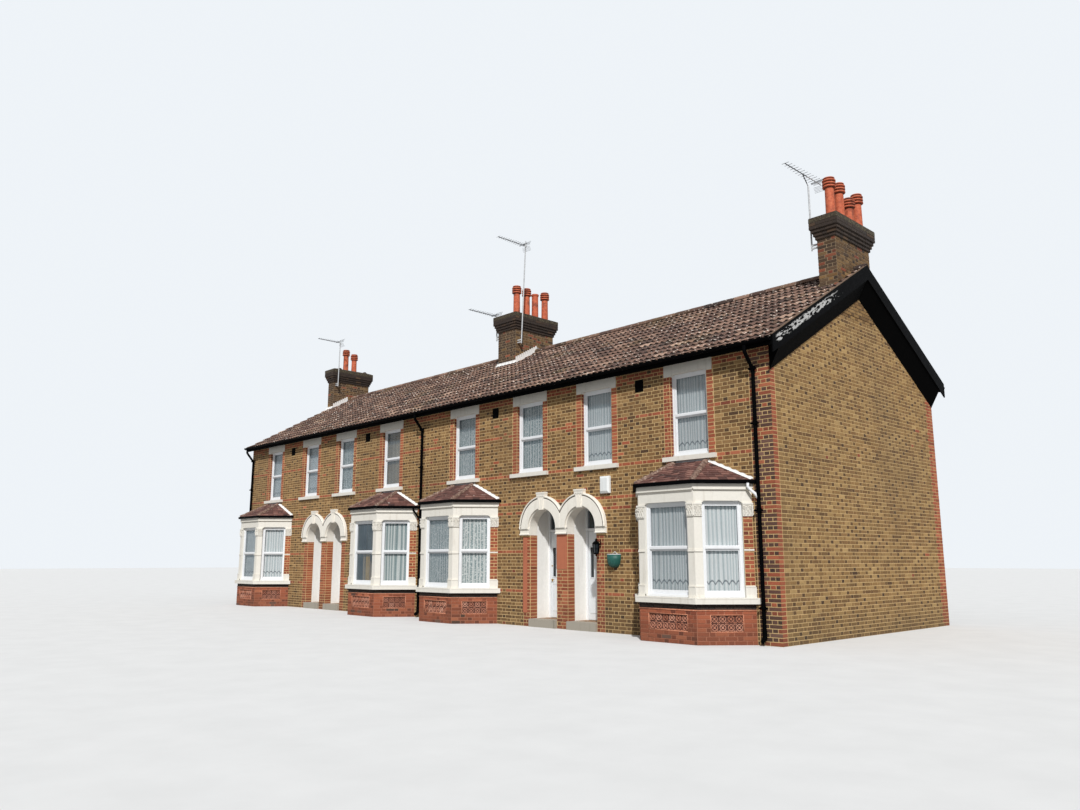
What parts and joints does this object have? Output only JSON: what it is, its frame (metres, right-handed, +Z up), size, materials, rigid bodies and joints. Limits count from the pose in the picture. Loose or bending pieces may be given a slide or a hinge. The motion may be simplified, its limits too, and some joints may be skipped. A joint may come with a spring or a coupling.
{
  "type": "terraced house row",
  "caption": "Row of two-storey brick terraced houses with canted ground-floor bays, paired arched entrances, tiled gable roof, chimney stacks and opening front doors.",
  "frame": {"origin": "ground level, in the middle of the row's length and of its depth from front wall face to back wall face", "axes": "+X along the row towards the gable end, +Y from the street front to the back, +Z up"},
  "size_m": [21.773, 8.573, 11.0806],
  "materials": {
    "stock_brick": "matt yellow brick",
    "painted_stone": "cream masonry paint",
    "white_frame": "white",
    "clear_glass": "clear",
    "roof_tile": "matt brown tile",
    "black_paint": "black gloss paint",
    "black_plastic": "black",
    "terracotta": "fired clay",
    "timber_floor": "plain",
    "concrete": "matt",
    "grey_steel": "galvanised",
    "white_door": "white",
    "white_box": "white",
    "green_wire": "green",
    "plaster": "white paint"
  },
  "bodies": {
    "house_row": {"front_wall_piers": "stock_brick", "front_wall_upper": "stock_brick", "rear_wall_lower": "stock_brick", "rear_wall_upper": "stock_brick", "party_walls": "stock_brick", "right_gable_wall": "stock_brick", "left_end_wall": "stock_brick", "chimney_stacks": "stock_brick", "bay_bases": "stock_brick", "window_lintels": "painted_stone", "window_sills": "painted_stone", "bay_sills": "painted_stone", "bay_columns": "painted_stone", "bay_entablatures": "painted_stone", "door_arches": "painted_stone", "window_frames": "white_frame", "door_frames": "white_frame", "window_glass": "clear_glass", "front_roof_slope": "roof_tile", "rear_roof_slope": "roof_tile", "ridge_tiles": "roof_tile", "bay_roofs": "roof_tile", "eaves_boards": "black_paint", "bargeboards": "black_paint", "verge_soffits": "black_paint", "gutters": "black_plastic", "downpipes": "black_plastic", "porch_lantern": "black_plastic", "chimney_pots": "terracotta", "air_vents": "terracotta", "floors": "timber_floor", "doorsteps": "concrete", "aerials": "grey_steel", "rear_doors": "white_door", "alarm_box": "white_box", "wall_basket": "green_wire", "porch_linings": "plaster"},
    "front_door_1_leaf": {"front_door_1": "white_door", "front_door_glass_1": "clear_glass"},
    "front_door_2_leaf": {"front_door_2": "white_door", "front_door_glass_2": "clear_glass"},
    "front_door_3_leaf": {"front_door_3": "white_door", "front_door_glass_3": "clear_glass"},
    "front_door_4_leaf": {"front_door_4": "white_door", "front_door_glass_4": "clear_glass"}
  },
  "joints": [
    {"name": "front_door_1_hinge", "type": "hinge", "parent": "house_row", "child": "front_door_1_leaf", "pos_m": [5.495, -2.9707, 1.175], "axis": [0, 0, 1], "range_deg": [0, 90]},
    {"name": "front_door_2_hinge", "type": "hinge", "parent": "house_row", "child": "front_door_2_leaf", "pos_m": [5.045, -2.9707, 1.175], "axis": [0, 0, -1], "range_deg": [0, 90]},
    {"name": "front_door_3_hinge", "type": "hinge", "parent": "house_row", "child": "front_door_3_leaf", "pos_m": [-5.045, -2.9707, 1.175], "axis": [0, 0, 1], "range_deg": [0, 90]},
    {"name": "front_door_4_hinge", "type": "hinge", "parent": "house_row", "child": "front_door_4_leaf", "pos_m": [-5.495, -2.9707, 1.175], "axis": [0, 0, -1], "range_deg": [0, 90]}
  ]
}
